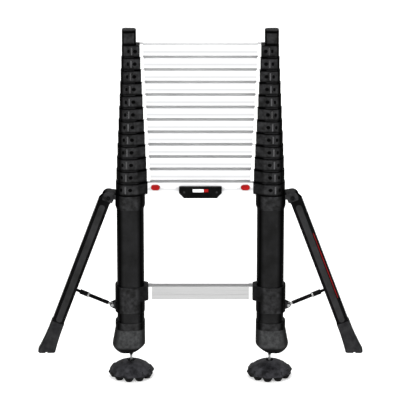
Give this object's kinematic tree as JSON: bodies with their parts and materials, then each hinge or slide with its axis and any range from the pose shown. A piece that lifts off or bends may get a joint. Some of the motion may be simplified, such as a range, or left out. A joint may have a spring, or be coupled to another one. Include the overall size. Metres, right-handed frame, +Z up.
{
  "type": "telescoping ladder",
  "caption": "Closed telescoping ladder with nested tube stiles, stacked aluminium rungs, thumb releases, folding side legs on stays and tilting rubber ground discs.",
  "frame": {"origin": "on the ground, midway between the two ground discs", "axes": "+Z up along the stiles, X across the ladder, -Y the front face with the release buttons"},
  "size_m": [0.8958, 0.1272, 0.991],
  "materials": {
    "tube_black": "black anodised aluminium tube, satin",
    "collar_plastic": "glass-filled black nylon, finely textured",
    "rung_aluminium": "natural anodised extrusion, brushed along its length",
    "grip_plastic": "smooth black plastic",
    "button_red": "glossy red plastic",
    "bolt_steel": "zinc plated steel",
    "leg_black": "black powder coat",
    "boot_rubber": "dark grey rubber, matt",
    "foot_rubber": "black rubber, matt",
    "disc_rubber": "dark grey rubber, mottled"
  },
  "bodies": {
    "root": {"base_tubes": "tube_black", "upper_collars": "collar_plastic", "lower_collars": "collar_plastic", "button_rung": "rung_aluminium", "bottom_rung": "rung_aluminium", "grip_handle": "grip_plastic", "boot_sockets": "collar_plastic", "boots": "boot_rubber", "leg_brackets": "collar_plastic", "stay_clevises": "collar_plastic", "hinge_bolts": "bolt_steel", "foot_studs": "bolt_steel"},
    "section_02": {"section_02_tubes": "tube_black", "section_02_collars": "collar_plastic", "rung_02": "rung_aluminium"},
    "section_03": {"section_03_tubes": "tube_black", "section_03_collars": "collar_plastic", "rung_03": "rung_aluminium"},
    "section_04": {"section_04_tubes": "tube_black", "section_04_collars": "collar_plastic", "rung_04": "rung_aluminium"},
    "section_05": {"section_05_tubes": "tube_black", "section_05_collars": "collar_plastic", "rung_05": "rung_aluminium"},
    "section_06": {"section_06_tubes": "tube_black", "section_06_collars": "collar_plastic", "rung_06": "rung_aluminium"},
    "section_07": {"section_07_tubes": "tube_black", "section_07_collars": "collar_plastic", "rung_07": "rung_aluminium"},
    "section_08": {"section_08_tubes": "tube_black", "section_08_collars": "collar_plastic", "rung_08": "rung_aluminium"},
    "section_09": {"section_09_tubes": "tube_black", "section_09_collars": "collar_plastic", "rung_09": "rung_aluminium"},
    "section_10": {"section_10_tubes": "tube_black", "section_10_collars": "collar_plastic", "rung_10": "rung_aluminium"},
    "section_11": {"section_11_tubes": "tube_black", "section_11_collars": "collar_plastic", "rung_11": "rung_aluminium"},
    "section_12": {"section_12_tubes": "tube_black", "section_12_collars": "collar_plastic", "rung_12": "rung_aluminium", "top_caps": "collar_plastic"},
    "right_release": {"release_button_right": "button_red", "lock_bolt_right": "bolt_steel"},
    "right_leg": {"leg_right": "leg_black", "leg_foot_right": "foot_rubber"},
    "right_stay": {"stay_rod_right": "leg_black", "stay_fittings_right": "bolt_steel"},
    "right_disc": {"foot_disc_right": "disc_rubber"},
    "left_release": {"release_button_left": "button_red", "lock_bolt_left": "bolt_steel"},
    "left_leg": {"leg_left": "leg_black", "leg_foot_left": "foot_rubber"},
    "left_stay": {"stay_rod_left": "leg_black", "stay_fittings_left": "bolt_steel"},
    "left_disc": {"foot_disc_left": "disc_rubber"}
  },
  "joints": [
    {"name": "section_02_slide", "type": "slide", "parent": "root", "child": "section_02", "axis": [0, 0, 1], "range_m": [0, 0.265]},
    {"name": "section_03_slide", "type": "slide", "parent": "section_02", "child": "section_03", "axis": [0, 0, 1], "range_m": [0, 0.265]},
    {"name": "section_04_slide", "type": "slide", "parent": "section_03", "child": "section_04", "axis": [0, 0, 1], "range_m": [0, 0.265]},
    {"name": "section_05_slide", "type": "slide", "parent": "section_04", "child": "section_05", "axis": [0, 0, 1], "range_m": [0, 0.265]},
    {"name": "section_06_slide", "type": "slide", "parent": "section_05", "child": "section_06", "axis": [0, 0, 1], "range_m": [0, 0.265]},
    {"name": "section_07_slide", "type": "slide", "parent": "section_06", "child": "section_07", "axis": [0, 0, 1], "range_m": [0, 0.265]},
    {"name": "section_08_slide", "type": "slide", "parent": "section_07", "child": "section_08", "axis": [0, 0, 1], "range_m": [0, 0.265]},
    {"name": "section_09_slide", "type": "slide", "parent": "section_08", "child": "section_09", "axis": [0, 0, 1], "range_m": [0, 0.265]},
    {"name": "section_10_slide", "type": "slide", "parent": "section_09", "child": "section_10", "axis": [0, 0, 1], "range_m": [0, 0.265]},
    {"name": "section_11_slide", "type": "slide", "parent": "section_10", "child": "section_11", "axis": [0, 0, 1], "range_m": [0, 0.265]},
    {"name": "section_12_slide", "type": "slide", "parent": "section_11", "child": "section_12", "axis": [0, 0, 1], "range_m": [0, 0.265]},
    {"name": "right_release_slide", "type": "slide", "parent": "root", "child": "right_release", "axis": [-1, 0, 0], "range_m": [0, 0.007], "stiffness_N_per_m": 400, "springref_m": -0.006},
    {"name": "right_leg_fold", "type": "hinge", "parent": "root", "child": "right_leg", "pos_m": [0.25, 0, 0.521], "axis": [0, 1, 0], "range_deg": [0, 16]},
    {"name": "right_stay_swing", "type": "hinge", "parent": "root", "child": "right_stay", "pos_m": [0.242, 0, 0.208], "axis": [0, -1, 0], "range_deg": [0, 58]},
    {"name": "right_disc_tilt", "type": "hinge", "parent": "root", "child": "right_disc", "pos_m": [0.191, 0, 0.03], "axis": [1, 0, 0], "range_deg": [-12, 12]},
    {"name": "left_release_slide", "type": "slide", "parent": "root", "child": "left_release", "axis": [1, 0, 0], "range_m": [0, 0.007], "stiffness_N_per_m": 400, "springref_m": -0.006},
    {"name": "left_leg_fold", "type": "hinge", "parent": "root", "child": "left_leg", "pos_m": [-0.25, 0, 0.521], "axis": [0, -1, 0], "range_deg": [0, 16]},
    {"name": "left_stay_swing", "type": "hinge", "parent": "root", "child": "left_stay", "pos_m": [-0.242, 0, 0.208], "axis": [0, 1, 0], "range_deg": [0, 58]},
    {"name": "left_disc_tilt", "type": "hinge", "parent": "root", "child": "left_disc", "pos_m": [-0.191, 0, 0.03], "axis": [1, 0, 0], "range_deg": [-12, 12]}
  ],
  "couplings": [
    {"joint": "right_stay_swing", "follows": "right_leg_fold", "ratio": 3.6},
    {"joint": "left_stay_swing", "follows": "left_leg_fold", "ratio": 3.6}
  ]
}
